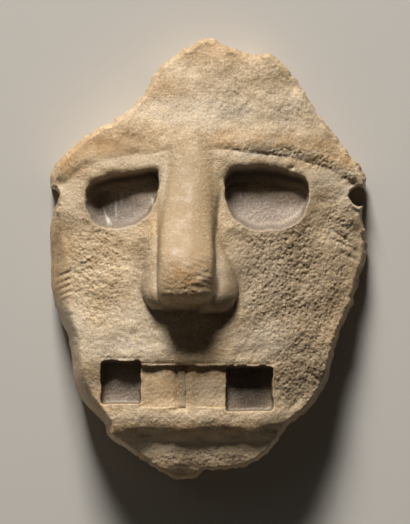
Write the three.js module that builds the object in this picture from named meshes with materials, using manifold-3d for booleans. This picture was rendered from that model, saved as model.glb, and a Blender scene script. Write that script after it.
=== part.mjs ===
// A funerary mask carved from one slab of pale banded stone, lying on its back with the face up.
// Millimetres, +Z up out of the face, +Y towards the crown, +X towards the viewer's right.
// The origin is under the middle of the mask, on the surface that its back rim lies on.
import * as THREE from 'three';
import { mergeVertices } from 'three/addons/utils/BufferGeometryUtils.js';
import Module from 'manifold-3d';

const wasm = await Module();
wasm.setup();

// The slab
const edgeShare = 0.38;        // the rim is widest at this share of the slab's height there
const edgeTuck = 2.6;          // how far the side draws in below that line
const waist = { tuck: 0.3, height: 0.5 };          // the side's middle: shares of that tuck and height
const edgePlaces = [0, 0.12, 0.35, 0.65, 1];       // rings of the worn edge, from the rim inwards
const edgeRound = { turn: 1.8, rise: 0.85 };       // powers that round it over
const arris = 0.97;            // the worn edge stops at this share of the face's height, in a crisp line
const pastFace = 80;           // cutters and blanks run from here, clear of the nose,
const underBack = -5;          // down to here, clear of the back
const midline = -8;            // the carved face sits a little left of the slab's middle
const pointsPerSpan = 2;       // points of the rim and the eyes made from each chosen one

// The dished back, inside the flat land that the mask lies on
const hollow = { halfWidth: 52, halfHeight: 71, depth: 12.5, curve: 2.2, rings: 7, sides: 48 };

// Where the face's lattice has its columns and rows: from, to, how far apart. Rows are close at the brow
// and lips.
const columnRuns = [[-70, 70, 4.4]];
const rowRuns = [[-95, -60, 2.3], [-60, 28, 6.5], [28, 63, 2.5], [63, 95, 5]];

// The sockets and the mouth
const eyeDepth = 9.6;
const eyeScoop = { rise: 2.4, from: 8, to: 24 };   // an eye's floor rises towards the lower lid
const leftEyeTilt = { slope: 0.12, about: -30 };   // and the left one's falls towards the temple
const leftHoleDepth = 6.6;
const rightHoleDepth = 6.4;
const holeTaper = 1.1;         // the floor of a hole is this much smaller all round
const mouthTop = -44.3;
const mouthBottom = -61.8;
const teeth = { depth: 2, lift: 1.5, from: -61, to: -46, taper: 0.4 };   // lifted towards the lower lip
const toothGap = { x: -11.1, width: 3.6, depth: 0.5, taper: 0.9 };

// The drilled holes at the temples, broken open at the rim
const temples = [
  { x: -66.4, y: 24.8, radius: 4.3 },
  { x: 63.0, y: 25.8, radius: 4.0 },
];
const templeSides = 20;

// The rim from the crown clockwise: x, y and the width of the worn edge seen from the front.
const crown = [
  [0, 92, 1.6], [5, 89.5, 1.6], [12, 87, 1.6], [18.5, 85, 1.6], [25, 85.5, 1.6], [30, 82.5, 1.8],
  [34.5, 77.5, 1.8], [38, 72, 1.8], [44.5, 62, 1.8], [48, 57, 1.8], [54.5, 49, 1.8], [60.5, 41.5, 1.8],
];
const rightSide = [
  [64.5, 36.5, 2], [66, 31, 2.4], [65.5, 26, 2.8], [64.5, 20, 2.4], [65, 13, 2], [66.2, 6, 2], [65, -2, 2],
  [62.5, -10, 2], [60, -19, 2], [56, -28, 2.2], [53, -37, 2.4], [50.5, -48, 2.6], [47, -56.5, 3],
  [40.5, -64.5, 3], [33, -70, 2.4],
];
const chin = [
  [30.5, -74, 1.8], [27, -78.5, 1.8], [18.5, -85.5, 1.6], [8, -88, 1.5], [-1, -88.5, 1.5], [-7, -92, 1.5],
  [-15, -91.5, 1.5], [-25, -85.5, 2], [-36, -78.5, 2.6], [-42.5, -73.5, 3], [-43.2, -69.5, 4],
];
const leftSide = [
  [-51, -61.5, 6], [-55.5, -54, 7], [-57, -42, 8], [-58.5, -33, 9], [-63, -23, 9], [-65.8, -11, 9],
  [-65.8, 0, 7], [-66.4, 11, 5], [-65, 21, 4], [-65.8, 26, 3], [-66.3, 33, 3], [-64, 39, 2.6],
];
const leftShoulder = [
  [-57, 46, 2.4], [-49, 52.5, 2], [-40, 57, 1.8], [-33.5, 61.5, 1.6], [-29, 66, 1.6], [-25.5, 71, 1.6],
  [-22.5, 77, 1.6], [-17, 82.5, 1.6], [-11, 86.5, 1.6], [-5, 90, 1.6],
];
const rimPoints = [...crown, ...rightSide, ...chin, ...leftSide, ...leftShoulder];

// The eye sockets, clockwise from the corner at the top nearest the nose: x, y at the lip, then at the floor.
// Their upper walls slope in under the lid.
const leftEye = [
  [-21, 37.8, -21.8, 32.8], [-20.5, 32.8, -21.6, 29.5], [-21.8, 23.5, -22.8, 23.3], [-27.1, 15.5, -27.6, 16.2],
  [-32.1, 13, -32.3, 13.9], [-41, 11.8, -40.2, 12.8], [-48, 14.8, -46.2, 16], [-50.8, 21, -48.6, 20.6],
  [-51.2, 28.7, -48, 25.4], [-47.2, 34, -43.6, 28.4], [-37.2, 37.4, -34.6, 30], [-24.6, 38.8, -25.6, 31.8],
];
const rightEye = [
  [8.2, 38.7, 9.6, 31.4], [18.5, 38.7, 18.5, 31.2], [33.7, 36.5, 33, 30], [41, 33.8, 39.8, 28.8],
  [42, 28.6, 40.8, 25.5], [40.4, 19.9, 39.3, 19.6], [36.8, 14.3, 36, 15.2], [26.7, 11.2, 26.6, 12.4],
  [16.8, 11.8, 17.2, 13], [10.3, 16.3, 10.8, 16.9], [6.9, 24.4, 7.4, 24.4], [6.5, 32.8, 7.4, 29.6],
];

// The mouth's two square holes and the row of teeth between them: left, bottom, right, top.
const leftHole = [-44.8, -60.5, -27.9, -42.4];
const rightHole = [7, -63.4, 26.7, -44.6];
const toothRow = [-28.4, mouthBottom, 8.2, mouthTop];

// The nose from the brow to under the tip: y, left edge, right edge, height of its crest, and how
// far its right side has fallen at the edge.
const noseSections = [
  [60, -14.5, -1.5, 26.6, 0.4], [52, -15, -0.4, 29.8, 1], [42, -15.8, 1, 33.6, 2.4],
  [30, -17, 1.6, 38.8, 3.6], [20, -18.6, 1.4, 43.6, 4.2], [10, -19.9, 1.6, 49.4, 4.4],
  [4, -20.3, 1.8, 53.4, 4.4], [0, -20.5, 2.1, 55.8, 4.4], [-3, -20.6, 2.1, 57, 4.4],
  [-5.5, -20.7, 2, 57.3, 4.4], [-8, -20.8, 1.9, 57.2, 4.4], [-10.5, -20.8, 1.7, 56.7, 4.6],
  [-12.5, -20.7, 1.5, 56.2, 4.6], [-14, -20.5, 1.3, 55.6, 4.6], [-15.5, -20.2, 1, 54, 4.4],
  [-17.5, -19.6, 0.4, 49.6, 4], [-19.5, -19, 0, 44, 3.4], [-22, -18.4, -0.4, 37.4, 3],
];
const noseSides = 12;
const noseRoot = 22;           // height at which the nose ends inside the slab
const seat = 0.3;              // a foot stands this far below the face, so that it joins it cleanly
const rightRound = 1.8;        // a low power falls away steadily from the crest
const leftRound = 3;           // and a high one stays flat until the shoulder
const leftShare = 0.55;        // the left side falls this share of what the right one does

// The wings of the nose, from top to bottom: y, how far it stands out from the nose's edge, height.
const leftWing = [
  [26, 1, 0], [16, 3, 1], [8, 4.6, 2.8], [0, 5.8, 5.4], [-6, 6.5, 6.8], [-12, 7, 7], [-15.5, 6.8, 6.6],
  [-18.5, 6, 5], [-21, 4.6, 2.6],
];
const rightWing = [
  [14, 0.5, 0], [6, 3.4, 2.2], [-1, 7, 6], [-7, 10, 8], [-12, 11.8, 8.6], [-15.5, 12, 8],
  [-19, 10.6, 5.8], [-22, 8, 2.6],
];
const wingInside = 2;          // a wing starts this far inside the nose
const wingPlaces = [0, 0.35, 0.6, 0.8, 0.92, 1];   // its section's points, as shares of how far it stands out
const wingRound = { flat: 2.4, drop: 0.6 };        // powers that keep its back full and its outer side steep

// A smooth curve through (place, value) pairs that doesn't swing past them.
function profile(pairs) {
  const points = [...pairs].sort((a, b) => a[0] - b[0]);
  const slopes = points.slice(1).map((p, i) => (p[1] - points[i][1]) / (p[0] - points[i][0]));
  const tangents = points.map((p, i) => {
    if (i === 0) return slopes[0];
    if (i === points.length - 1) return slopes[i - 1];
    if (slopes[i - 1] * slopes[i] <= 0) return 0;
    return 2 * slopes[i - 1] * slopes[i] / (slopes[i - 1] + slopes[i]);
  });
  return (place) => {
    const last = points.length - 1;
    const t = THREE.MathUtils.clamp(place, points[0][0], points[last][0]);
    let i = 0;
    while (i < last - 1 && t > points[i + 1][0]) i += 1;
    const span = points[i + 1][0] - points[i][0];
    const u = (t - points[i][0]) / span;
    const bend = u * u * (3 - 2 * u);
    const start = u * (1 - u) * (1 - u) * span * tangents[i];
    const end = u * u * (u - 1) * span * tangents[i + 1];
    return points[i][1] * (1 - bend) + points[i + 1][1] * bend + start + end;
  };
}

// Height of the face down the midline: forehead, cheeks, lips, the recess below them, chin.
const heightDown = profile([
  [92, 19.4], [80, 22.4], [66, 26.2], [58, 28], [50, 29.7], [40, 31.4], [30, 32.5], [14, 34], [-5, 36],
  [-20, 38], [-34, 39.5], [-45, 40], [-58, 39], [-66, 40.1], [-69.2, 39.6], [-71.4, 38.5], [-73.8, 36.7],
  [-76, 35], [-79.5, 33.9], [-82, 33.3], [-85, 32.4], [-88, 31.2], [-92, 29.2],
]);

// How far it falls away to each side of the midline, most on the right.
const fallAcross = profile([
  [-58, -13], [-52, -8.5], [-46, -5.2], [-38, -3], [-28, -1.2], [-14, -0.1], [0, 0], [14, -0.8],
  [26, -3.2], [38, -7.2], [50, -12.4], [62, -18], [74, -23],
]);

// The fall is less at the forehead, where the slab is flatter.
const fallShare = profile([
  [92, 0.4], [60, 0.65], [45, 0.85], [20, 0.9], [0, 1], [-50, 1], [-70, 0.9], [-92, 0.7],
]);

// The brow is one ridge from temple to temple: its lower edge, and how far it stands out.
const browEdge = profile([
  [-66, 31], [-60, 33.4], [-52, 40], [-41, 45.4], [-30, 47], [-20, 47.4], [-8, 48.6], [5, 49],
  [15, 47.6], [28, 46], [40, 43.4], [51, 39.4], [59, 34.4], [66, 28],
]);
const browRelief = profile([
  [-66, 1.3], [-52, 1], [-40, 0.8], [-8, 0.9], [5, 1.2], [15, 1.5], [30, 1.7], [46, 1.7], [66, 1.4],
]);
const browRise = [-3, 2.6];    // across the edge the ridge rises over this stretch
const browFade = [2.6, 14];    // and runs out into the forehead over this one

// Where the nose's edges and its crest run, and how much wider than its shoulders it is at its foot.
const noseLeft = profile(noseSections.map(([y, left]) => [y, left]));
const noseRight = profile(noseSections.map(([y, , right]) => [y, right]));
const noseCrest = profile([[58, -7.5], [36, -7], [18, -8], [0, -10], [-21, -9.5]]);
const leftFlare = profile([[50, 5], [30, 4.4], [18, 2.8], [8, 1.5], [0, 1.1], [-21, 1]]);
const rightFlare = profile([[50, 4.6], [28, 4], [18, 2.4], [8, 1.1], [-21, 0.9]]);

function slabHeight(x, y) {
  return heightDown(y) + fallAcross(x - midline) * fallShare(y);
}

const step = THREE.MathUtils.smoothstep;

function faceHeight(x, y) {
  const above = y - browEdge(x);
  const ridge = step(above, ...browRise) * (1 - step(above, ...browFade));
  return slabHeight(x, y) + browRelief(x) * ridge;
}

// Two triangles for a four-sided face, parted along its shorter diagonal so that ridges stay clean.
function quad(points, a, b, c, d) {
  const across = points[a].distanceTo(points[c]) <= points[b].distanceTo(points[d]);
  return across ? [a, b, c, a, c, d] : [a, b, d, b, c, d];
}

function indexed(points, faces) {
  const geometry = new THREE.BufferGeometry().setFromPoints(points);
  geometry.setIndex(faces);
  return geometry;
}

// A closed solid from rings of points, each ring closed by a fan at the two ends.
function loft(rings) {
  const count = rings[0].length;
  const middle = (ring) => ring.reduce((sum, p) => sum.add(p), new THREE.Vector3()).divideScalar(count);
  const points = [...rings.flat(), middle(rings[0]), middle(rings.at(-1))];
  const [first, top] = [rings.length * count, (rings.length - 1) * count];
  const faces = [];
  for (let j = 0; j < count; j += 1) {
    const next = (j + 1) % count;
    for (let i = 0; i < rings.length - 1; i += 1) {
      faces.push(...quad(points, i * count + j, i * count + next, (i + 1) * count + next, (i + 1) * count + j));
    }
    faces.push(first, next, j, first + 1, top + j, top + next);
  }
  return indexed(points, faces);
}

function solid(geometry) {
  geometry.deleteAttribute('normal');
  geometry.deleteAttribute('uv');
  const merged = mergeVertices(geometry);
  return new wasm.Manifold(new wasm.Mesh({
    numProp: 3,
    vertProperties: merged.attributes.position.array,
    triVerts: Uint32Array.from(merged.index.array),
  }));
}

// A closed outline turned anticlockwise, with points added on a smooth curve between the chosen ones.
function smoothOutline(points, perSpan) {
  const corners = points.map((p) => new THREE.Vector3(p[0], p[1], p[2] ?? 0)).reverse();
  const curve = new THREE.CatmullRomCurve3(corners, true, 'centripetal');
  const count = points.length * perSpan;
  return Array.from({ length: count }, (_, i) => curve.getPoint(i / count));
}

const places = (runs) => {
  const all = runs.flatMap(([from, to, apart]) => {
    const count = Math.round((to - from) / apart);
    return Array.from({ length: count }, (_, i) => from + (to - from) * i / count);
  });
  return [...all, runs.at(-1)[1]];
};

// A block with the whole relief of the face on top, still wider than the mask.
function reliefBlock() {
  const [columns, rows] = [places(columnRuns), places(rowRuns)];
  const at = (layer, i, j) => (layer * rows.length + i) * columns.length + j;
  const points = [];
  for (const heightOf of [faceHeight, () => underBack]) {
    for (const y of rows) {
      for (const x of columns) points.push(new THREE.Vector3(x, y, heightOf(x, y)));
    }
  }
  const faces = [];
  for (let i = 0; i < rows.length - 1; i += 1) {
    for (let j = 0; j < columns.length - 1; j += 1) {
      faces.push(...quad(points, at(0, i, j), at(0, i, j + 1), at(0, i + 1, j + 1), at(0, i + 1, j)));
      faces.push(...quad(points, at(1, i, j), at(1, i + 1, j), at(1, i + 1, j + 1), at(1, i, j + 1)));
    }
  }
  const [top, right] = [rows.length - 1, columns.length - 1];
  for (let i = 0; i < top; i += 1) {
    faces.push(...quad(points, at(0, i, 0), at(0, i + 1, 0), at(1, i + 1, 0), at(1, i, 0)));
    faces.push(...quad(points, at(0, i + 1, right), at(0, i, right), at(1, i, right), at(1, i + 1, right)));
  }
  for (let j = 0; j < right; j += 1) {
    faces.push(...quad(points, at(0, 0, j + 1), at(0, 0, j), at(1, 0, j), at(1, 0, j + 1)));
    faces.push(...quad(points, at(0, top, j), at(0, top, j + 1), at(1, top, j + 1), at(1, top, j)));
  }
  return solid(indexed(points, faces));
}

// The mask's outer shape without its relief: flat back, side, worn edge, then straight up past the face.
function rimShape() {
  const rim = smoothOutline(rimPoints, pointsPerSpan);
  const ringAt = (inset, heightOf) => rim.map((p) => {
    const scale = 1 - inset(p) / Math.hypot(p.x, p.y);
    const [x, y] = [p.x * scale, p.y * scale];
    return new THREE.Vector3(x, y, heightOf(x, y));
  });
  const edge = (x, y) => faceHeight(x, y) * edgeShare;
  const rings = [
    ringAt(() => edgeTuck, () => 0),
    ringAt(() => edgeTuck * waist.tuck, (x, y) => edge(x, y) * waist.height),
  ];
  for (const t of edgePlaces) {
    const rise = arris * (1 - (1 - t) ** edgeRound.turn) ** edgeRound.rise;
    rings.push(ringAt((p) => p.z * t, (x, y) => edge(x, y) + (faceHeight(x, y) - edge(x, y)) * rise));
  }
  rings.push(ringAt((p) => p.z, () => pastFace));
  return solid(loft(rings));
}

// The cutter for the dished back, starting a little below it.
function hollowShape() {
  const rings = [];
  for (let i = 0; i <= hollow.rings; i += 1) {
    const q = i === 0 ? 1 : 1 - (i - 1) / hollow.rings;
    const ring = Array.from({ length: hollow.sides }, (_, k) => {
      const angle = 2 * Math.PI * k / hollow.sides;
      const [x, y] = [q * hollow.halfWidth * Math.cos(angle), q * hollow.halfHeight * Math.sin(angle)];
      return new THREE.Vector3(x, y, i === 0 ? underBack : hollow.depth * (1 - q ** hollow.curve));
    });
    rings.push(ring);
  }
  return solid(loft(rings));
}

// The nose, lofted from the brow to the tip and down under it: a crest, flat on its left and falling
// on its right, between walls that are soft at the brow and steep below.
function nose() {
  const rings = noseSections.map(([y, left, right, ridge, fall]) => {
    const crest = noseCrest(y);
    const [footLeft, footRight] = [left - leftFlare(y), right + rightFlare(y)];
    const foot = (x) => new THREE.Vector3(x, y, Math.min(faceHeight(x, y), ridge) - seat);
    const ring = [new THREE.Vector3(footRight, y, noseRoot), foot(footRight)];
    for (let k = 0; k <= noseSides; k += 1) {
      const side = Math.cos(Math.PI * k / noseSides);
      const reach = side > 0 ? right - crest : crest - left;
      const drop = side > 0 ? fall * side ** rightRound : fall * leftShare * (-side) ** leftRound;
      ring.push(new THREE.Vector3(crest + reach * side, y, ridge - drop));
    }
    ring.push(foot(footLeft), new THREE.Vector3(footLeft, y, noseRoot));
    return ring;
  });
  return solid(loft(rings));
}

// A wing: a lobe that grows out of the nose's edge. Side is -1 for the left one and 1 for the right.
function wing(sections, side) {
  const edgeAt = side < 0 ? noseLeft : noseRight;
  const rings = sections.map(([y, reach, rise]) => {
    const at = (out, height) => new THREE.Vector3(edgeAt(y) + side * out, y, height);
    const ring = [at(-wingInside, noseRoot), at(-wingInside, faceHeight(edgeAt(y), y) + rise - seat)];
    for (const share of wingPlaces) {
      const ground = faceHeight(edgeAt(y) + side * share * reach, y);
      ring.push(at(share * reach, ground + rise * (1 - share ** wingRound.flat) ** wingRound.drop - seat));
    }
    ring.push(at(reach, noseRoot));
    return side < 0 ? ring : ring.reverse();
  });
  return solid(loft(rings));
}

// A cutter for a hole: its outline at the floor, at the lip, and carried up past the face.
function pocket(lip, floor, floorAt) {
  const low = floor.map((p) => p.clone().setZ(floorAt(p.x, p.y)));
  const middle = lip.map((p) => p.clone().setZ(faceHeight(p.x, p.y)));
  const high = lip.map((p) => p.clone().setZ(pastFace));
  return solid(loft([low, middle, high]));
}

function eyeFloor(x, y) {
  return slabHeight(x, y) - eyeDepth + eyeScoop.rise * (1 - step(y, eyeScoop.from, eyeScoop.to));
}

function leftEyeFloor(x, y) {
  return eyeFloor(x, y) + leftEyeTilt.slope * (x - leftEyeTilt.about);
}

function toothFace(x, y) {
  return slabHeight(x, y) - teeth.depth + teeth.lift * (1 - step(y, teeth.from, teeth.to));
}

function eyePocket(eye, floorAt) {
  const floor = eye.map((p) => p.slice(2));
  return pocket(smoothOutline(eye, pointsPerSpan), smoothOutline(floor, pointsPerSpan), floorAt);
}

function boxOutline([left, bottom, right, top], inset = 0) {
  const [x0, x1, y0, y1] = [left + inset, right - inset, bottom + inset, top - inset];
  const middle = [(x0 + x1) / 2, (y0 + y1) / 2];
  return [
    [x1, middle[1]], [x1, y1], [middle[0], y1], [x0, y1], [x0, middle[1]], [x0, y0], [middle[0], y0], [x1, y0],
  ].map(([x, y]) => new THREE.Vector3(x, y, 0));
}

function boxPocket(box, taper, floorAt) {
  return pocket(boxOutline(box), boxOutline(box, taper), floorAt);
}

function templeHole({ x, y, radius }) {
  const length = pastFace - underBack;
  const geometry = new THREE.CylinderGeometry(radius, radius, length, templeSides);
  geometry.rotateX(Math.PI / 2).translate(x, y, underBack + length / 2);
  return solid(geometry);
}

function mask() {
  const gap = [toothGap.x - toothGap.width / 2, mouthBottom, toothGap.x + toothGap.width / 2, mouthTop];
  const holeFloor = (depth) => (x) => slabHeight(x, mouthTop) - depth;
  let carved = reliefBlock().intersect(rimShape()).subtract(hollowShape()).add(nose());
  carved = carved.add(wing(leftWing, -1)).add(wing(rightWing, 1));
  carved = carved.subtract(eyePocket(leftEye, leftEyeFloor)).subtract(eyePocket(rightEye, eyeFloor));
  carved = carved.subtract(boxPocket(toothRow, teeth.taper, toothFace));
  carved = carved.subtract(boxPocket(gap, toothGap.taper, (x, y) => toothFace(x, y) - toothGap.depth));
  carved = carved.subtract(boxPocket(leftHole, holeTaper, holeFloor(leftHoleDepth)));
  carved = carved.subtract(boxPocket(rightHole, holeTaper, holeFloor(rightHoleDepth)));
  for (const hole of temples) carved = carved.subtract(templeHole(hole));
  const { vertProperties, triVerts } = carved.getMesh();
  const geometry = new THREE.BufferGeometry();
  geometry.setAttribute('position', new THREE.BufferAttribute(vertProperties, 3));
  geometry.setIndex(new THREE.BufferAttribute(triVerts, 1));
  geometry.computeVertexNormals();
  return geometry;
}

const stone = new THREE.MeshStandardMaterial({ color: 0xc9ab82, roughness: 0.62, metalness: 0 });
const piece = new THREE.Mesh(mask(), stone);
piece.name = 'mask';

const group = new THREE.Group();
group.add(piece);

export default group;
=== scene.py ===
# %% [markdown]
# # A funerary mask in pale banded stone
#
# The object is one slab of calcite, carved into a face and worn by burial. It lies on its dished
# back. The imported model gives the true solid. This script dresses it with a fine skin: the same
# forms on a mesh about half a millimetre fine, then the weathering, the tool marks and the stone.

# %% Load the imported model
import math

import bpy
import numpy as np
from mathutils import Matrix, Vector, kdtree
from mathutils.geometry import delaunay_2d_cdt


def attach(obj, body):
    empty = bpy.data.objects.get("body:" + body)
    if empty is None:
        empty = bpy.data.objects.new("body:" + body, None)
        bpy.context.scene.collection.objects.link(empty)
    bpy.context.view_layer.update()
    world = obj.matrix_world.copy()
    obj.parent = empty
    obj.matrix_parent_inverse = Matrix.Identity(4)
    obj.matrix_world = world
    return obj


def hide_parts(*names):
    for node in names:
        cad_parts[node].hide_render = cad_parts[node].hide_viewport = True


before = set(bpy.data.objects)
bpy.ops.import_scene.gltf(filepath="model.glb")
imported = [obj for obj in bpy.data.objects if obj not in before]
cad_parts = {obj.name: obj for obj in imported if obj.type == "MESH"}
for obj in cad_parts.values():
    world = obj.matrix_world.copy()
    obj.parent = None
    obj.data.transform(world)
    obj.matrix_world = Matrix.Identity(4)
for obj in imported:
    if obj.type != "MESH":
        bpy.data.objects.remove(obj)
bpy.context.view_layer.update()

MM = 0.001
scene = bpy.context.scene

# %% [markdown]
# ## Colour and nodes
#
# Colours are written as the sRGB hex values that a colour picker shows, and Blender wants them
# linear. One function turns them. Another adds a node with its settings and its links, so that
# a material reads as a list of steps.


# %% Two small helpers
def linear(hex_colour):
    """An sRGB hex colour as linear RGBA."""
    channels = [int(hex_colour[i:i + 2], 16) / 255 for i in (1, 3, 5)]
    return [c / 12.92 if c <= 0.04045 else ((c + 0.055) / 1.055) ** 2.4 for c in channels] + [1.0]


def add(tree, kind, inputs=None, **settings):
    """A new node: settings are its properties, inputs its socket values or the sockets to link."""
    node = tree.nodes.new(kind)
    for name, value in settings.items():
        setattr(node, name, value)
    for key, value in (inputs or {}).items():
        socket = node.inputs[key]
        if isinstance(value, bpy.types.NodeSocket):
            tree.links.new(value, socket)
        else:
            socket.default_value = value
    return node


# %% [markdown]
# ## Floor, camera and light
#
# The mask lies face up, so the camera looks straight down on it. A long lens from two metres
# keeps the nose from swelling. One soft lamp, beyond the crown and low enough to throw the
# brow's and the nose's shadows, does most of the work. A weak card beyond the chin and a wide
# weak lamp at the left fill those shadows a little.

# %% The floor
bpy.ops.mesh.primitive_plane_add(size=4, location=(0, 0, -0.0002))
floor = bpy.context.object
floor.name = "floor"
floor_paint = bpy.data.materials.new("matt_pale_board")
floor_paint.use_nodes = True
floor_shader = floor_paint.node_tree.nodes["Principled BSDF"]
floor_shader.inputs["Base Color"].default_value = linear("#bfbab2")
floor_shader.inputs["Roughness"].default_value = 0.9
floor.data.materials.append(floor_paint)

# %% The camera
IMAGE_HEIGHT = 524            # pixels
MM_PER_PIXEL = 0.42           # at the mask's rim
camera_height = 2.2
camera_aim = (-1.5 * MM, -1.7 * MM)
view_height = IMAGE_HEIGHT * MM_PER_PIXEL * MM

camera_data = bpy.data.cameras.new("camera")
camera_data.sensor_width = 36
camera_data.lens = camera_data.sensor_width * camera_height / view_height
camera = bpy.data.objects.new("camera", camera_data)
camera.location = (*camera_aim, camera_height)
scene.collection.objects.link(camera)
scene.camera = camera
print("lens in mm:", round(camera_data.lens, 1))


# %% The lamps
def lamp(name, size, watts, azimuth, elevation, distance, colour):
    """A square soft lamp aimed at the mask. Azimuth turns from the crown towards the left."""
    data = bpy.data.lights.new(name, "AREA")
    data.size = size
    data.energy = watts
    data.color = linear(colour)[:3]
    turn, rise = math.radians(azimuth), math.radians(elevation)
    away = Vector((-math.sin(turn) * math.cos(rise), math.cos(turn) * math.cos(rise), math.sin(rise)))
    lamp_object = bpy.data.objects.new(name, data)
    lamp_object.location = away * distance
    lamp_object.rotation_euler = away.to_track_quat("Z", "Y").to_euler()
    scene.collection.objects.link(lamp_object)


lamp("key", size=0.85, watts=172, azimuth=9, elevation=28, distance=3.1, colour="#fffdfa")
lamp("card", size=0.8, watts=0.9, azimuth=180, elevation=12, distance=1.2, colour="#fff4e2")
lamp("fill", size=1.2, watts=0.8, azimuth=50, elevation=50, distance=1.8, colour="#fff8f0")
world = bpy.data.worlds.new("soft_room")
world.use_nodes = True
world.node_tree.nodes["Background"].inputs["Color"].default_value = linear("#f2f0ee")
world.node_tree.nodes["Background"].inputs["Strength"].default_value = 0.012
scene.world = world
scene.view_settings.view_transform = "Standard"

# %% [markdown]
# ## The forms of the face
#
# The carver worked a flat slab: a forehead, a brow ridge from temple to temple, flat cheeks that
# fall away to the right, a long nose, and a mouth cut square. Each form is a height above the
# back, in millimetres, as a smooth curve through a few measured places. Most curves are the
# solid's own, so the skin lies on it. The brow's edge, the nose's tip, the eyes and the left
# flank follow the photograph a little more closely than the solid does.


# %% Curves through measured places
def profile(pairs):
    """A smooth curve through (place, value) pairs that doesn't swing past them."""
    at, value = np.array(sorted(pairs), float).T
    slope = np.diff(value) / np.diff(at)
    before, after = slope[:-1], slope[1:]
    agree = before * after > 0
    inner = np.where(agree, 2 * before * after / np.where(agree, before + after, 1), 0)
    tangent = np.concatenate([slope[:1], inner, slope[-1:]])

    def curve(place):
        t = np.clip(place, at[0], at[-1])
        i = np.clip(np.searchsorted(at, t) - 1, 0, len(slope) - 1)
        span = at[i + 1] - at[i]
        u = (t - at[i]) / span
        bend = u * u * (3 - 2 * u)
        pull = u * (1 - u) ** 2 * tangent[i] + u * u * (u - 1) * tangent[i + 1]
        return value[i] * (1 - bend) + value[i + 1] * bend + span * pull

    return curve


def ease(low, high, value):
    """0 below low, 1 above high, and a smooth step between."""
    t = np.clip((value - low) / (high - low), 0, 1)
    return t * t * (3 - 2 * t)


def soft_max(a, b, blend):
    """The greater of two heights, with a fillet of about blend where they cross."""
    near = np.maximum(blend - np.abs(a - b), 0)
    return np.maximum(a, b) + near * near / (4 * blend)


# %% The slab and the brow
MIDLINE = -8                  # the carved face sits a little left of the slab's middle
height_down = profile([
    (92, 19.4), (80, 22.4), (66, 26.2), (58, 28), (50, 29.7), (40, 31.4), (30, 32.5), (14, 34),
    (-5, 36), (-20, 38), (-34, 39.5), (-45, 40), (-58, 39), (-66, 40.1), (-69.2, 39.6), (-71.4, 38.5),
    (-73.8, 36.7), (-76, 35), (-79.5, 33.9), (-82, 33.3), (-85, 32.4), (-88, 31.2), (-92, 29.2),
])
fall_across = profile([
    (-58, -13), (-52, -8.5), (-46, -5.2), (-38, -3), (-28, -1.2), (-14, -0.1), (0, 0), (14, -0.8),
    (26, -3.2), (38, -7.2), (50, -12.4), (62, -18), (74, -23),
])
fall_share = profile([
    (92, 0.4), (60, 0.65), (45, 0.85), (20, 0.9), (0, 1), (-50, 1), (-70, 0.9), (-92, 0.7),
])
brow_edge = profile([
    (-66, 29.6), (-60, 32.4), (-52, 38.8), (-41, 42.6), (-30, 44.4), (-20, 44.8), (-8, 46), (5, 46.4),
    (15, 45.1), (28, 44.1), (40, 41.6), (51, 37.8), (59, 33.4), (66, 27.2),
])
brow_relief = profile([
    (-66, 1.2), (-52, 0.9), (-40, 0.65), (-8, 0.8), (5, 1.1), (15, 1.3), (30, 1.5), (46, 1.5), (66, 1.2),
])


def slab_height(x, y):
    return height_down(y) + fall_across(x - MIDLINE) * fall_share(y)


def brow_height(x, y):
    above = y - brow_edge(x)
    ridge = 1 - (1 - np.clip((above + 1.5) / 5.4, 0, 1)) ** 2
    return brow_relief(x) * ridge * (1 - ease(5, 16, above + 1.6 * ease(0, 15, x)))


# %% The nose and its wings
# y, left edge, right edge, height of the ridge, how far its right side has fallen
NOSE_SECTIONS = [
    (60, -14.5, -1.5, 26.6, 0.4), (52, -15, -0.4, 29.8, 1), (42, -15.8, 1, 33.6, 2.4),
    (30, -17, 1.6, 38.8, 3.6), (20, -18.6, 1.4, 43.6, 4.2), (10, -19.9, 1.6, 49.4, 4.4),
    (4, -20.3, 1.8, 53.4, 4.4), (0, -20.5, 2.1, 55.8, 4.4), (-3, -20.6, 2.1, 57, 4.4),
    (-5.5, -20.7, 2, 57.6, 4.4), (-9, -20.8, 1.9, 57.9, 4.2), (-11.5, -20.8, 1.7, 57.7, 4.2),
    (-13.5, -20.7, 1.5, 57.4, 4.2), (-15, -20.5, 1.3, 56.8, 4.2), (-16.4, -20.2, 1, 55, 4),
    (-18.2, -19.6, 0.4, 50, 3.8), (-20, -19, 0, 44, 3.4), (-22, -18.4, -0.4, 37.4, 3),
]
NOSE_TOP, NOSE_BOTTOM = 60, -22
LEFT_WING = [                 # y, how far it stands out from the nose's edge, height above the cheek
    (26, 1, 0), (16, 3, 1), (8, 4.6, 2.8), (0, 5.8, 5.4), (-6, 6.5, 6.8), (-12, 7, 7.8),
    (-15.5, 6.9, 8.2), (-18.5, 6.4, 7.2), (-21, 5.2, 4.2),
]
RIGHT_WING = [
    (16, 0.8, 0.2), (10, 2.4, 1.6), (4, 4.4, 3.4), (-1, 6.6, 5.2), (-7, 9, 7.6), (-12, 10.6, 9.2),
    (-15.5, 11, 9.7), (-19, 10.3, 8.3), (-22, 8.2, 4.4),
]
nose_left = profile([(y, left) for y, left, _, _, _ in NOSE_SECTIONS])
nose_right = profile([(y, right) for y, _, right, _, _ in NOSE_SECTIONS])
nose_ridge = profile([(y, ridge) for y, _, _, ridge, _ in NOSE_SECTIONS])
nose_crown = profile([(y, crown) for y, _, _, _, crown in NOSE_SECTIONS])
nose_crest = profile([(58, -7.5), (36, -7), (18, -8), (0, -10), (-21, -9.5)])
left_flare = profile([(50, 5), (30, 4.4), (18, 2.8), (8, 1.5), (0, 1.1), (-21, 1)])
right_flare = profile([(50, 4.6), (28, 4), (18, 2.4), (8, 1.1), (-5, 1.1), (-12, 4.5), (-21, 4)])


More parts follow.
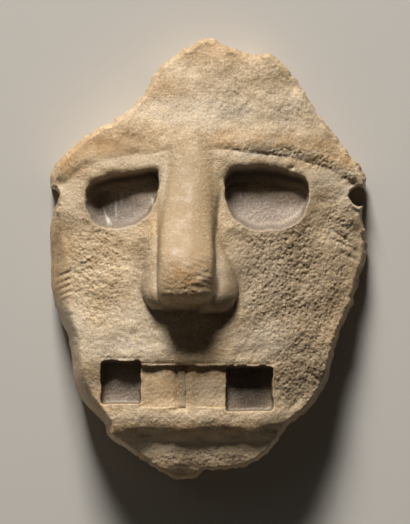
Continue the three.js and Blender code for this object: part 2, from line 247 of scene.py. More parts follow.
def nose_height(x, y, ground):
    """The ridge, its rounded shoulders, and side walls that are soft at the brow and steep below."""
    left = x < nose_crest(y)
    half = np.where(left, nose_crest(y) - nose_left(y), nose_right(y) - nose_crest(y))
    flare = np.where(left, left_flare(y), right_flare(y))
    across = np.abs(x - nose_crest(y))
    share = np.minimum(across / half, 1)
    top = nose_ridge(y) - nose_crown(y) * np.where(left, 0.55 * share ** 3, share ** 1.8)
    past = across - half
    past = (past + np.sqrt(past * past + (0.35 * flare) ** 2)) / 2
    sides = top - past * (np.maximum(top - ground, 1) / flare + 0.3)
    within = (y < NOSE_TOP) & (y > NOSE_BOTTOM)
    return np.where(within, sides, ground - 10)


def wing_height(x, y, wing, side, ground):
    """A lobe that grows out of the nose's edge: side is -1 for the left one and 1 for the right."""
    reach = profile([(place, out) for place, out, _ in wing])
    rise = profile([(place, height) for place, _, height in wing])
    first, last = wing[0][0], wing[-1][0]
    edge = nose_left(y) if side < 0 else nose_right(y)
    out = np.maximum((x - edge) * side, -2 * (x - edge) * side)
    lobe = 1 - (np.maximum(out, 0) / reach(y)) ** 2.4
    past = 8 * np.maximum(last - y, 0) + np.maximum(y - first, 0)
    return ground + rise(y) * np.maximum(lobe, 0) ** 0.6 - past - 4 * np.maximum(-lobe, 0)


# %% [markdown]
# ## Unevenness
#
# Nothing on a hand-carved slab is a true curve. A sum of waves in many directions gives low
# swells without a grid's look. The directions come from a seeded generator, so they are the
# same on every run.


# %% Swells left by the hand
def swells(x, y, size, seed, waves=14):
    """Smooth unevenness of about unit height, with hollows about size millimetres apart."""
    random = np.random.default_rng(seed)
    total = np.zeros_like(x)
    for _ in range(waves):
        angle = random.uniform(0, 2 * math.pi)
        length = size * random.uniform(0.7, 1.6)
        phase = random.uniform(0, 2 * math.pi)
        total += np.cos((x * math.cos(angle) + y * math.sin(angle)) * 2 * math.pi / length + phase)
    return total / math.sqrt(waves / 2)


def uneven(x, y, layers, base=0.0):
    """The base with some layers of swells on it: the height, size and seed of each."""
    total = base
    for height, size, seed in layers:
        total = total + height * swells(x, y, size, seed)
    return total


# %% [markdown]
# ## Outlines
#
# The rim and the sockets are closed curves through a few chosen points, in millimetres. Each is
# walked at an even step, so that the mesh gets even edges along it. The two drilled holes at
# the temples broke through the rim, so their arcs replace the stretch of rim inside them.

# %% The chosen points
RIM = [                       # x, y, width of the worn edge seen from the front
    (0, 92, 1.6), (5, 89.5, 1.6), (12, 87, 1.6), (18.5, 85, 1.6), (25, 85.5, 1.6), (30, 82.5, 1.8),
    (34.5, 77.5, 1.8), (38, 72, 1.8), (44.5, 62, 1.8), (48, 57, 1.8), (54.5, 49, 1.8), (60.5, 41.5, 1.8),
    (64.5, 36.5, 2), (66, 31, 2.4), (65.5, 26, 2.8), (64.5, 20, 2.4), (65, 13, 2), (66.2, 6, 2), (65, -2, 2),
    (62.5, -10, 2), (60, -19, 2), (56, -28, 2.2), (53, -37, 2.4), (50.5, -48, 2.6), (47, -56.5, 3),
    (40.5, -64.5, 3), (33, -70, 2.4),
    (30.5, -74, 1.8), (27, -78.5, 1.8), (18.5, -85.5, 1.6), (8, -88, 1.5), (-1, -88.5, 1.5), (-7, -92, 1.5),
    (-15, -91.5, 1.5), (-25, -85.5, 2), (-36, -78.5, 2.6), (-42.5, -73.5, 3), (-43.2, -69.5, 4),
    (-51, -61.5, 6), (-55.5, -54, 6), (-57, -42, 4.5), (-58.5, -33, 5), (-63, -23, 6), (-65.8, -11, 8),
    (-65.8, 0, 7), (-66.4, 11, 5), (-65, 21, 4), (-65.8, 26, 3), (-66.3, 33, 3), (-64, 39, 2.6),
    (-57, 46, 2.4), (-49, 52.5, 2), (-40, 57, 1.8), (-33.5, 61.5, 1.6), (-29, 66, 1.6), (-25.5, 71, 1.6),
    (-22.5, 77, 1.6), (-17, 82.5, 1.6), (-11, 86.5, 1.6), (-5, 90, 1.6),
]
TEMPLE_HOLES = [(-66.4, 24.8, 4.3), (63.0, 25.8, 4.0)]
HOLE_EDGE = 0.8               # worn edge of those holes
ARC_POINTS = 38               # along the arc of a hole
LEFT_EYE = [                  # x, y at the lip, then at the floor
    (-21, 36.4, -21.8, 32), (-20.5, 32.4, -21.6, 29.2), (-21.8, 23.5, -23.6, 24),
    (-27.1, 15.5, -28.4, 18.4), (-32.1, 13, -33, 16.4), (-41, 11.8, -39.6, 16.4),
    (-48, 14.8, -43.6, 18.4), (-50.8, 21, -45, 21.8), (-51.2, 27.6, -45.6, 24.6),
    (-47.4, 31.8, -43, 27.6), (-37.2, 34.9, -34.6, 29.6), (-25, 36.6, -25.6, 31.2),
]
RIGHT_EYE = [
    (8.6, 36.4, 9.8, 30.8), (14, 38, 14.6, 31), (22, 38.4, 21.8, 30.8), (31, 37, 30.4, 30),
    (38, 34.4, 36.8, 29.2), (41.6, 31.2, 40.2, 27.6), (42, 26.8, 40.4, 25), (40.4, 19.9, 38.4, 20.8),
    (36.8, 14.3, 34.8, 17.2), (26.7, 11.2, 26.2, 15), (16.8, 11.8, 17.8, 15.4), (10.3, 16.3, 12, 18.6),
    (6.9, 24.4, 8.2, 24.6), (6.6, 31.8, 7.6, 29.2),
]


# %% Walking a closed curve
def closed_curve(points, step):
    """Even steps along a centripetal Catmull-Rom curve through the points, and any further columns."""
    corners = np.array(points, float)
    count = len(corners)
    fine = []
    for i in range(count):
        p = [corners[(i + k - 1) % count] for k in range(4)]
        knots = [0.0]
        for a, b in zip(p, p[1:]):
            knots.append(knots[-1] + np.linalg.norm(b[:2] - a[:2]) ** 0.5)
        for t in np.linspace(knots[1], knots[2], 24, endpoint=False):
            row = p
            for level in (1, 2, 3):
                spans = [knots[k + level] - knots[k] for k in range(4 - level)]
                row = [
                    (row[k] * (knots[k + level] - t) + row[k + 1] * (t - knots[k])) / spans[k]
                    for k in range(4 - level)
                ]
            fine.append(row[0])
    return even_steps(np.array(fine), step)


def even_steps(path, step):
    """The same closed path with its points an even step apart."""
    closed = np.vstack([path, path[:1]])
    along = np.concatenate([[0], np.cumsum(np.linalg.norm(np.diff(closed[:, :2], axis=0), axis=1))])
    places = np.linspace(0, along[-1], max(int(along[-1] / step), 8), endpoint=False)
    return np.column_stack([np.interp(places, along, closed[:, k]) for k in range(path.shape[1])])


def break_open(path, hole):
    """Puts a drilled hole's arc in place of the stretch of rim that runs through it."""
    cx, cy, radius = hole
    inside = np.hypot(path[:, 0] - cx, path[:, 1] - cy) < radius
    start = int(np.argmax(inside & ~np.roll(inside, 1)))
    rolled = np.roll(path, -start, axis=0)
    cut = int(np.argmin(np.roll(inside, -start)))
    kept = rolled[cut:]
    enter = math.atan2(kept[-1, 1] - cy, kept[-1, 0] - cx)
    leave = math.atan2(kept[0, 1] - cy, kept[0, 0] - cx)
    inward = math.atan2(0, -cx)
    turn = (leave - enter) % (2 * math.pi)
    way = turn if math.cos(enter + turn / 2 - inward) > 0 else turn - 2 * math.pi
    angles = enter + way * np.linspace(0, 1, ARC_POINTS + 2)[1:-1]
    arc_x, arc_y = cx + radius * np.cos(angles), cy + radius * np.sin(angles)
    return np.vstack([kept, np.column_stack([arc_x, arc_y, np.full(ARC_POINTS, HOLE_EDGE)])])


FINE = 0.62                   # the front mesh's step
PITTED_STEP = 0.42            # its step where the stone is most pitted
NARROW_EDGE = 2               # a worn edge wider than this is less ragged
RIM_SWELLS = ((0.2, 5, 51), (0.12, 1.8, 52))


def raggedness(width):
    """1 on a narrow, broken edge, and less on one that is widely worn."""
    return np.minimum(NARROW_EDGE / width, 1) ** 2


rim = closed_curve(RIM, 0.3)
for hole in TEMPLE_HOLES:
    rim = break_open(rim, hole)
rim = even_steps(rim, FINE)
ragged = uneven(rim[:, 0], rim[:, 1], RIM_SWELLS) * raggedness(rim[:, 2])
even_rim = rim[:, :2].copy()
rim[:, :2] *= 1 + (ragged / np.hypot(rim[:, 0], rim[:, 1]))[:, None]
print("rim points:", len(rim))

# %% [markdown]
# ## Sockets
#
# The eyes and the mouth's holes were cut down from the face with a chisel, so their walls slope a
# little, and the eyes' upper walls a lot. A socket is two outlines with matching points, one at
# the lip and one at the floor. How far a point lies from the one to the other gives its height.

# %% The sockets' outlines
EYE_DEPTH = 8.9
EYE_SCOOP = 2.4               # how far an eye's floor rises at the lower lid
EYE_END = 1.4                 # and at the right eye's right end
LEFT_EYE_TILT = 0.12          # how much deeper each millimetre outwards
MOUTH_TOP = -44.3
MOUTH_BOTTOM = -61.8
TOOTH_DEPTH = 2
TOOTH_RISE = 1.5              # how far the teeth rise towards the lower lip
GAP_DEPTH = 0.4               # the gap between the teeth, below their faces
HOLE_DEPTHS = (6.6, 6.4)      # the left and the right hole of the mouth
FLOOR_SWELLS = ((0.03, 2.2, 41), (0.12, 9, 42))
LEFT_HOLE = (-44.8, -60.5, -27.9, -42.4)     # left, bottom, right, top
RIGHT_HOLE = (7, -63.4, 26.7, -44.6)
TOOTH_ROW = (-28.4, MOUTH_BOTTOM, 8.2, MOUTH_TOP)
TOOTH_GAP = (-12.9, MOUTH_BOTTOM, -9.3, MOUTH_TOP)


def box_outline(box, taper, corner, step):
    """A box with rounded corners, and beside each point its place at the floor."""
    left, bottom, right, top = box
    centre = np.array([(left + right) / 2, (bottom + top) / 2])
    half = np.array([(right - left) / 2, (top - bottom) / 2])
    points = []
    for quarter in range(4):
        sign = [(1, 1), (-1, 1), (-1, -1), (1, -1)][quarter]
        pivot = centre + sign * (half - corner)
        for angle in np.radians(np.linspace(0, 90, 5) + 90 * quarter):
            points.append(pivot + corner * np.array([math.cos(angle), math.sin(angle)]))
    path = even_steps(np.array(points), step)
    return np.hstack([path, centre + (path - centre) * (half - taper) / half])


def eye_floor(x, y):
    """Level with the slab, and scooped up a little towards the lower lid and the right end."""
    return slab_height(x, y) - EYE_DEPTH + EYE_SCOOP * (1 - ease(8, 24, y)) + EYE_END * ease(26, 40, x)


def left_eye_floor(x, y):
    """This one is cut deeper at its outer end."""
    return eye_floor(x, y) + LEFT_EYE_TILT * (x + 30)


def tooth_face(x, y):
    """The teeth stand almost level with the lower lip and lie deeper under the upper one."""
    return slab_height(x, y) - TOOTH_DEPTH + TOOTH_RISE * (1 - ease(-61, -46, y))


def tooth_gap(x, y):
    return tooth_face(x, y) - GAP_DEPTH


def hole_floor(depth):
    """A mouth hole's floor keeps its depth below the slab at the upper lip."""
    def floor_height(x, y):
        return slab_height(x, np.full_like(x, MOUTH_TOP)) - depth

    return floor_height


def by_hand(outline):
    """A chiselled outline never runs quite true: both lines of a socket wander a little together."""
    x, y = outline[:, 0], outline[:, 1]
    shift = [uneven(x, y, ((0.14, 8, seed), (0.04, 2.2, seed + 1))) for seed in (21, 31)]
    return outline + np.column_stack(shift * 2)


# lip and floor outline, the floor's height, how grey it is inside, and how far up the socket the
# more worn upper lip begins, where 1 is its top
SOCKETS = [
    (by_hand(closed_curve(LEFT_EYE, FINE)), left_eye_floor, 1.0, 0.6),
    (by_hand(closed_curve(RIGHT_EYE, FINE)), eye_floor, 1.0, 0.6),
    (by_hand(box_outline(TOOTH_ROW, 0.4, 0.3, FINE)), tooth_face, 0.0, 0.98),
    (by_hand(box_outline(TOOTH_GAP, 0.9, 0.3, FINE)), tooth_gap, 0.1, 2.0),
    (by_hand(box_outline(LEFT_HOLE, 1.1, 1.2, FINE)), hole_floor(HOLE_DEPTHS[0]), 0.9, 0.98),
    (by_hand(box_outline(RIGHT_HOLE, 1.1, 1.2, FINE)), hole_floor(HOLE_DEPTHS[1]), 0.9, 0.98),
]
WALL_ROWS = (0, 0.1, 0.25, 0.42, 0.6, 0.78, 0.92, 1)     # from the lip to the floor


# %% Inside, outside and how far
def is_inside(path, x, y):
    """Which points lie inside a closed path: a ray to the right crosses it an odd number of times."""
    inside = np.zeros(x.shape, bool)
    for (x0, y0), (x1, y1) in zip(path[:, :2], np.roll(path[:, :2], -1, axis=0)):
        if y0 != y1:
            crosses = (y0 > y) != (y1 > y)
            inside ^= crosses & (x < (x1 - x0) * (y - y0) / (y1 - y0) + x0)
    return inside


def nearest(path, x, y):
    """Each point's distance to a closed path, and the path's point that it is nearest to."""
    tree = kdtree.KDTree(len(path))
    for i, (px, py) in enumerate(path[:, :2]):
        tree.insert((px, py, 0), i)
    tree.balance()
    index = np.array([tree.find((px, py, 0))[1] for px, py in zip(x, y)])
    here = np.column_stack([x, y])
    best = np.full(len(x), np.inf)
    for side in (-1, 1):
        start = path[index, :2]
        along = path[(index + side) % len(path), :2] - start
        share = np.clip(np.sum((here - start) * along, axis=1) / np.sum(along * along, axis=1), 0, 1)
        best = np.minimum(best, np.linalg.norm(here - start - share[:, None] * along, axis=1))
    return best, index


LIP_WEAR = (0.05, 0.95)       # how far a lip is worn down: elsewhere, and along the top of a socket
LIP_REACH = (0.8, 2.4)        # and over what width


def sink(x, y, z, socket, worn):
    """Lowers z inside one socket. Also says how deep, how near the lip and how worn each point is."""
    outline, floor_height, _, top_from = socket
    depth, wear, at_lip = np.zeros_like(x), np.zeros_like(x), np.zeros_like(x)
    low, high = outline[:, :2].min(axis=0), outline[:, :2].max(axis=0)
    margin = LIP_REACH[1]
    close = (x >= low[0] - margin) & (x <= high[0] + margin)
    close &= (y >= low[1] - margin) & (y <= high[1] + margin)
    px, py = x[close], y[close]
    to_lip = nearest(outline[:, :2], px, py)[0]
    to_floor = nearest(outline[:, 2:], px, py)[0]
    share = to_lip / np.maximum(to_lip + to_floor, 1e-9)
    share[is_inside(outline[:, 2:], px, py)] = 1
    share[~is_inside(outline, px, py)] = 0
    depth[close] = 0.15 * share + 0.85 * (1 - (1 - share) ** 2)
    top = ease(top_from, top_from + 0.4 * (1.02 - top_from) + 0.02, (py - low[1]) / (high[1] - low[1]))
    worn_by, reach = [pair[0] + (pair[1] - pair[0]) * top for pair in (LIP_WEAR, LIP_REACH)]
    wear[close] = worn_by * np.maximum(1 - to_lip / reach, 0) ** 2 * (share < 1)
    at_lip[close] = np.maximum(1 - to_lip / LIP_REACH[0], 0) ** 2 * (share < 1)
    z = z - np.maximum(wear - worn, 0)
    floor = uneven(x, y, FLOOR_SWELLS, floor_height(x, y))
    return np.minimum(z, z * (1 - depth) + floor * depth), depth, at_lip, np.maximum(wear, worn)


# %% [markdown]
# ## Strokes and chips
#
# Some marks are single ones that a visitor would know the mask by: saw strokes across the left
# flank, scratches in an eye, creases at the right cheek and jaw. Each is a short line with a
# width and a depth. Chips are soft bites out of an edge. The sockets are sunk after the marks,
# so a mark on the teeth hardly shows.

# %% The marks, in millimetres
STROKES = [                   # from x, y to x, y, half width, depth
    # saw strokes across the left flank
    (-64.6, -8.8, -56.4, -5.2, 0.6, 0.8), (-64.2, -11.4, -56.2, -8.2, 0.6, 0.8),
    (-63.8, -14.0, -56.4, -10.8, 0.6, 0.8), (-62.9, -16.4, -56.6, -13.4, 0.6, 0.7),
    (-62.2, -18.8, -58.0, -16.6, 0.6, 0.5), (-60.8, -24.4, -55.8, -23.6, 0.5, 0.3),
    (-59.6, -33.4, -54.0, -32.6, 0.5, 0.3), (-58.8, -36.4, -53.6, -35.8, 0.5, 0.3),
    # marks at the teeth, of which hardly anything is left once the teeth are sunk
    (-27.6, -59.0, -24.0, -60.2, 0.45, 0.7), (-24.0, -60.2, -20.0, -60.0, 0.45, 0.7),
    (3.2, -50.4, 7.4, -52.6, 0.45, 0.6),
    # creases at the right jaw and cheek
    (42.1, -47.9, 46.9, -51.7, 0.7, 0.6), (43.7, -52.1, 47.5, -55.0, 0.6, 0.4),
    (33.6, -62.6, 38.6, -58.0, 0.9, 0.6), (51.0, 11.8, 60.1, 5.5, 0.8, 0.6),
    (53.3, 7.2, 62.4, 2.4, 0.8, 0.6), (55.4, 2.1, 63.8, -1.9, 0.7, 0.5),
    # fine lines along the brow
    (3.0, 45.6, 18.0, 43.8, 0.5, 0.25), (18.0, 43.8, 34.0, 41.8, 0.6, 0.2),
    (-23.0, 43.4, -17.0, 44.6, 0.5, 0.4),
]
SCRATCHES = [                 # from x, y to x, y: the pale ones in the left eye
    (-43.8, 21.4, -41.7, 14.1), (-43.2, 18.9, -40.2, 13.5), (-41.9, 17.4, -41.4, 13.6),
    (-38.7, 25.6, -38.4, 17), (-36.2, 27.4, -36.4, 22.0), (-23.3, 25.8, -23.2, 21.2),
]
CHIPS = [                     # x, y, radius along x, along y, depth
    (34.6, 37.4, 1.6, 0.9, 0.8), (-9.6, -12.6, 1.3, 0.7, 0.35), (-5.4, -11.4, 1.4, 0.6, 0.3),
    (-16.5, -13.0, 1.2, 0.7, 0.3), (-26.0, -72.6, 3.0, 1.6, 1.0), (9.5, -73.2, 3.4, 1.5, 0.9),
    (-4.0, -73.6, 2.6, 1.2, 0.8), (26.0, -70.8, 3.0, 1.6, 1.0), (-14.6, -62.6, 2.0, 1.0, 0.8),
    (62.6, 19.6, 2.2, 1.8, 2.0), (60.8, 31.0, 2.0, 1.6, 1.2), (-62.0, 31.4, 2.2, 2.2, 1.2),
    (16.0, 85.0, 4.0, 2.6, 1.6), (36.0, 72.0, 3.0, 4.0, 1.4), (-24.0, 76.0, 3.0, 4.0, 1.2),
    (3.0, 88.6, 3.4, 3.0, 1.4), (46.0, 58.0, 2.4, 4.0, 1.0), (31.0, -72.4, 3.0, 2.6, 1.6),
]


def on_line(x, y, x0, y0, x1, y1, half_width):
    """1 on a short straight line, fading away across it and a little towards its ends."""
    along = np.array([x1 - x0, y1 - y0])
    share = np.clip(((x - x0) * along[0] + (y - y0) * along[1]) / (along @ along), 0, 1)
    away = np.hypot(x - x0 - share * along[0], y - y0 - share * along[1])
    return (0.35 + 0.65 * np.sin(math.pi * share)) * np.exp(-((away / half_width) ** 2))


def marks(x, y):
    """How far the strokes and the chips lower the surface."""
    cut = np.zeros_like(x)
    for x0, y0, x1, y1, half_width, depth in STROKES:
        cut = np.maximum(cut, depth * on_line(x, y, x0, y0, x1, y1, half_width))
    for cx, cy, rx, ry, depth in CHIPS:
        away = ((x - cx) / rx) ** 2 + ((y - cy) / ry) ** 2
        cut += depth * np.exp(-away)
    return cut


# %% [markdown]
# ## The face's height
#
# All the forms come together here: slab, brow and swells, then the nose and its wings with a
# fillet where they meet the cheeks, then the marks, the sockets, and last the worn edge that
# rounds the face down to the rim.

# %% Height of every point of the front
EDGE_SHARE = 0.38             # the rim is widest at this share of the slab's height there
EDGE_TUCK = 2.6               # how far the side draws in below that line
TUCK_CURVE = 1.74             # and how late on the way down
FACE_SWELLS = ((0.35, 22, 3), (0.08, 8, 5))     # height, size and seed
WING_FILLET = 1.6
NOSE_FILLET = 1.2
TIP_FILLET = 3.5              # added in the groove at the right of the nose's tip


def smooth_round(values, reach):
    """A running mean along a closed path, so that a width doesn't change at a step."""
    kernel = np.ones(2 * reach + 1) / (2 * reach + 1)
    wrapped = np.concatenate([values[-reach:], values, values[:reach]])
    return np.convolve(wrapped, kernel, mode="valid")


edge_width = smooth_round(rim[:, 2], 7)


def broken(x, y, z):
    """How far the broken sides stand in from an even side. The pattern leans as it goes up."""
    return 0.45 * swells(x + 0.9 * z, y - 1.1 * z, 7, seed=61) + 0.2 * swells(x - z, y - 0.8 * z, 3, seed=62)


def fibres(x, y):
    """Fine streaks across the nose's worn tip."""
    return swells(0.4 * x + 0.92 * y, 0.25 * (0.92 * x - 0.4 * y), 1.5, seed=9)


def front_height(x, y):
    """Heights in millimetres, how deep in a socket each point is, how near a lip, how far down the edge."""
    ground = slab_height(x, y) + brow_height(x, y)
    ground = uneven(x, y, FACE_SWELLS, ground)
    z = soft_max(ground, wing_height(x, y, LEFT_WING, -1, ground), WING_FILLET)
    z = soft_max(z, wing_height(x, y, RIGHT_WING, 1, ground), WING_FILLET)
    z = soft_max(z, nose_height(x, y, ground), NOSE_FILLET + TIP_FILLET * ease(-3, 1, x) * ease(6, 12, -y))
    at_tip = (1 - ease(-2, 6, y)) * (x > nose_left(y)) * (x < nose_right(y)) * (y > NOSE_BOTTOM + 8)
    z = z - marks(x, y) + 0.1 * at_tip * (0.3 + 0.7 * ease(-12, -5, x)) * fibres(x, y)
    socket_depth, at_lip, worn = np.zeros_like(x), np.zeros_like(x), np.zeros_like(x)
    for socket in SOCKETS:
        z, depth, near, worn = sink(x, y, z, socket, worn)
        socket_depth = np.maximum(socket_depth, depth * socket[2])
        at_lip = np.maximum(at_lip, near)
    to_rim, index = nearest(rim, x, y)
    inwards = np.clip(to_rim / edge_width[index], 0, 1)
    edge = slab_height(x, y) * EDGE_SHARE
    worn_edge = (1 - (1 - inwards) ** 1.8) ** 0.85
    on_edge = (1 - inwards) * np.minimum(to_rim / 0.4, 1) * raggedness(edge_width[index])
    return edge + (z - edge) * worn_edge, socket_depth, at_lip, on_edge


# %% [markdown]
# ## Where the stone wore, and how
#
# Burial ate the right cheek and the ground under the right brow, while the nose, the left flank
# and the step under the lip kept their polish. Soft patches say where, and the mesh carries them
# as attributes, for the weathering and the stone's colour both to read.
# Some of them paint shade into the sockets, and light onto the shaded step and chin under the lower lip.

# %% The patches, in millimetres
PITTED = [                    # x, y, half width, half height, strength
    (33, -9.5, 25, 26, 1.0), (44, -28, 14, 18, 0.8), (22, -26, 12, 12, 0.35), (54, 12, 10, 14, 0.7),
    (-46, -6, 15, 24, 0.8), (-30, -24, 10, 14, 0.45), (-28, 2, 10, 12, 0.35), (11, 72, 20, 18, 0.5),
    (36, 60, 18, 10, 0.45), (-30, 54, 24, 8, 0.15), (14, 46, 10, 2.4, 0.6), (32, 44, 12, 2.6, 0.65),
    (48, 40, 9, 3.2, 0.85), (58, 35, 6, 3.5, 0.7), (-9, -12.5, 7, 3.5, 0.35), (-24, 44.5, 9, 3.5, 0.4),
    (-50, 37, 12, 4, 0.4), (38, -48, 13, 18, 0.75), (20, -38, 14, 7, 0.3), (-38, -34, 12, 9, 0.35),
    (-8, -66, 36, 4, 0.45), (-4, -82, 24, 5, 0.6), (-24, -36, 10, 8, 0.2),
]
# finely marked but not pitted: the teeth, the nose's tip, the saw strokes, the left eye's scratches
DETAILED = [
    (-10, -53, 24, 11, 1.0), (-9, -9, 12, 8, 1.0), (-60.5, -12, 6, 9, 1.0), (-41, 18, 5, 9, 1.0),
]
POLISHED = [
    (-9, 22, 9, 24, 0.8), (-9, 3, 9, 8, 0.9), (-63, -20, 7, 26, 0.9), (-8, -76, 34, 5, 0.6),
    (-42, 45, 20, 6, 0.6), (5, -11, 8, 10, 0.6), (-21, -12, 5, 10, 0.6), (-20, -54, 8, 8, 0.5),
    (0, -54, 8, 8, 0.4),
]
HONEY = [
    (-9, -6, 9, 9, 1.0), (-9, 12, 7, 12, 0.3), (-20, -54, 8, 7, 0.4), (-45, 47, 16, 6, 0.7),
    (-20, 62, 10, 14, 0.4), (8, 86, 18, 5, 0.6), (-64, 2, 5, 30, 0.5), (0, -48, 34, 3, 0.5),
    (-8, -71, 36, 4, 0.6), (8, 50, 18, 3.5, 0.6), (28, 49, 12, 3, 0.6), (44, 48, 11, 3, 0.5),
    (56, 41.5, 8, 3.5, 0.85), (-58, 39, 8, 5, 0.7), (-8, -87, 24, 5, 0.6), (34, -20, 26, 24, 0.35),
    (-44, -64, 8, 10, 0.4),
]
# paler stone; the patches at y -78 and -84 under the lower lip are painted light that lifts the shaded step
# and chin
PALE_AND_PAINTED_LIGHT = [
    (-2, 61, 28, 6, 0.8), (34, 62, 12, 8, 0.6), (14, 34, 3, 12, 0.5), (-18, 30, 2.5, 12, 0.6),
    (22, 43.2, 18, 1.6, 0.9), (-34, 40, 16, 2.5, 0.45), (48, 33, 12, 4, 0.6), (-32, -25, 12, 6, 0.6),
    (-56, -27, 6, 10, 0.8), (-36, -36, 18, 8, 0.9), (24, -34, 12, 8, 0.8), (24, -2, 8, 12, 0.4),
    (-8, -66, 34, 2.5, 0.4), (-6, -78, 34, 5, 0.5), (-6, -84, 24, 4, 0.4), (60, 26, 7, 7, 0.7),
    (-60, 24, 6, 8, 0.5), (18, -12, 5, 16, 0.35),
]
# soil stains; the patches at the left eye's outer end and in the mouth's right hole are painted shade
SOIL_AND_PAINTED_SHADE = [
    (34, -11, 26, 24, 0.95), (30, -70, 12, 8, 0.6), (54, 8, 13, 20, 0.5), (16, -4, 8, 20, 0.7),
    (8, -9, 7, 13, 0.95), (42, -52, 14, 18, 0.95), (-46.5, 22, 5, 8, 1.0), (16, 52.5, 10, 3, 0.3),
    (14, 74, 26, 20, 0.4), (-25, -9, 5, 14, 0.85), (0, -54, 8, 8, 0.3), (14, 24, 4, 12, 0.5),
    (-36, -52, 9, 4, 0.6), (17, -52, 10, 6, 0.9), (60, -20, 8, 40, 0.5),
]
# painted shade: a near-black brown laid into the eyes' and the mouth's sockets where they lie in shade
PAINTED_SOCKET_SHADE = [
    (17.2, -52, 9.5, 10, 0.78), (-37, -52, 9, 9, 0.25), (24, 36, 18, 5, 0.3), (-34, 34, 14, 4, 0.3),
    (-38, 19, 12, 6, 0.45), (-41, 15, 10, 5, 0.5), (-46.5, 21, 6, 9, 0.5), (9, 19, 4, 8, 0.35),
]


def patches(x, y, spots):
    """The strongest of some soft elliptical patches at each point, from 0 to 1."""
    total = np.zeros_like(x)
    for cx, cy, rx, ry, strength in spots:
        away = ((x - cx) / rx) ** 2 + ((y - cy) / ry) ** 2
        total = np.maximum(total, strength * np.exp(-0.7 * away ** 1.5))
    return total


# %% [markdown]
# ## The front as a mesh
#
# A grid would step along the sockets' lips. So the outlines go in as fixed edges, with rows of
# points down the steep walls, and an even triangular lattice fills the rest. The constrained
# Delaunay triangulation joins them all. Only then does each point get its height.

# %% Points of the front
RIM_ROWS = (0.05, 0.12, 0.2, 0.3, 0.42, 0.56, 0.74, 0.96, 1.25)     # mm in from the rim


def closed_edges(count, start=0):
    return [(start + i, start + (i + 1) % count) for i in range(count)]


def lattice(step, low, high):
    """An even triangular lattice of points over a box."""
    row_step = step * math.sqrt(3) / 2
    rows = np.arange(low[1], high[1], row_step)
    columns = np.arange(low[0], high[0], step)
    x, y = np.meshgrid(columns, rows)
    x = x + (np.arange(len(rows)) % 2)[:, None] * step / 2
    return np.column_stack([x.ravel(), y.ravel()])


def clear_of(points, others, gap):
    """The points that are at least gap away from all the others."""
    tree = kdtree.KDTree(len(others))
    for i, (px, py) in enumerate(others):
        tree.insert((px, py, 0), i)
    tree.balance()
    keep = [tree.find((px, py, 0))[2] > gap for px, py in points]
    return points[np.array(keep)]


def inset(path, distance):
    """A closed anticlockwise or clockwise path moved in, without its points that come too near."""
    ahead = np.roll(path[:, :2], -1, axis=0) - np.roll(path[:, :2], 1, axis=0)
    normal = np.column_stack([-ahead[:, 1], ahead[:, 0]]) / np.linalg.norm(ahead, axis=1)[:, None]
    turn = np.sum(path[:, 0] * np.roll(path[:, 1], -1) - path[:, 1] * np.roll(path[:, 0], -1))
    moved = path[:, :2] + np.sign(turn) * normal * distance
    return moved[nearest(path, moved[:, 0], moved[:, 1])[0] > 0.9 * distance]


points = [rim[:, :2]]
edges = closed_edges(len(rim))
for outline, *_ in SOCKETS:
    for row in WALL_ROWS:
        loop = outline[:, :2] + (outline[:, 2:] - outline[:, :2]) * row
        edges += closed_edges(len(loop), sum(len(p) for p in points))
        points.append(loop)
for distance in RIM_ROWS:
    points.append(inset(rim, distance))
wall_y = np.arange(NOSE_BOTTOM, 24, FINE)
for out in np.linspace(-0.3, 1.3, 6):
    points.append(np.column_stack([nose_left(wall_y) - out, wall_y]))
    points.append(np.column_stack([nose_right(wall_y) + out, wall_y]))
fixed = np.vstack(points)
fillings = []
for step, is_detailed in ((PITTED_STEP, True), (FINE, False)):
    filling = lattice(step, fixed.min(axis=0), fixed.max(axis=0))
    filling = filling[is_inside(rim, filling[:, 0], filling[:, 1])]
    detailed = patches(filling[:, 0], filling[:, 1], PITTED + DETAILED) > 0.5
    filling = filling[detailed == is_detailed]
    fillings.append(clear_of(filling, fixed, 0.6 * step))
filling = np.vstack(fillings)
everything = [Vector(p) for p in np.vstack([fixed, filling])]
front = delaunay_2d_cdt(everything, edges, [], 1, 1e-5)
flat = np.array([v[:] for v in front[0]])
front_z, front_socket, front_lip, front_edge = front_height(flat[:, 0], flat[:, 1])
drawn_in = front_edge * broken(flat[:, 0], flat[:, 1], front_z)
flat[:, :2] *= (1 - drawn_in / np.hypot(flat[:, 0], flat[:, 1]))[:, None]
front_points = np.column_stack([flat, front_z])
front_faces = [tuple(face) for face in front[2]]
rim_index = {source: i for i, sources in enumerate(front[3]) for source in sources if source < len(rim)}
print("front:", len(front_points), "points,", len(front_faces), "triangles")

# %% [markdown]
# ## The side and the back
#
# The photograph doesn't show the back. Stone masks of this kind are dished behind, inside a
# flat land, so this one is too. The side draws in a little towards the back.

# %% Side rings
SIDE_ROWS = (0.12, 0.25, 0.37, 0.5, 0.62, 0.75, 0.87, 1)
on_arc = np.minimum(2 * smooth_round((rim[:, 2] == HOLE_EDGE).astype(float), 6), 1)
side_points = []
for row in SIDE_ROWS:
    x, y = (rim[:, :2] * (1 - row) + even_rim * row).T
    z = slab_height(x, y) * EDGE_SHARE * (1 - row)
    drawn_in = (EDGE_TUCK * row ** TUCK_CURVE + broken(x, y, z) * math.sin(math.pi * row)) * (1 - on_arc)
    scale = 1 - drawn_in / np.hypot(x, y)
    side_points.append(np.column_stack([x * scale, y * scale, z]))

# %% The back
HOLLOW = {"half_width": 52, "half_height": 71, "depth": 12.5, "curve": 2.2}
COARSE = 2.2                  # the back mesh's step
BACK_SWELLS = ((0.4, 13, 11), (0.2, 6, 12))
LAND_POINTS = 200             # round the hollow's edge


def back_height(x, y):
    q = np.hypot(x / HOLLOW["half_width"], y / HOLLOW["half_height"])
    return (HOLLOW["depth"] + uneven(x, y, BACK_SWELLS)) * np.maximum(1 - q ** HOLLOW["curve"], 0)


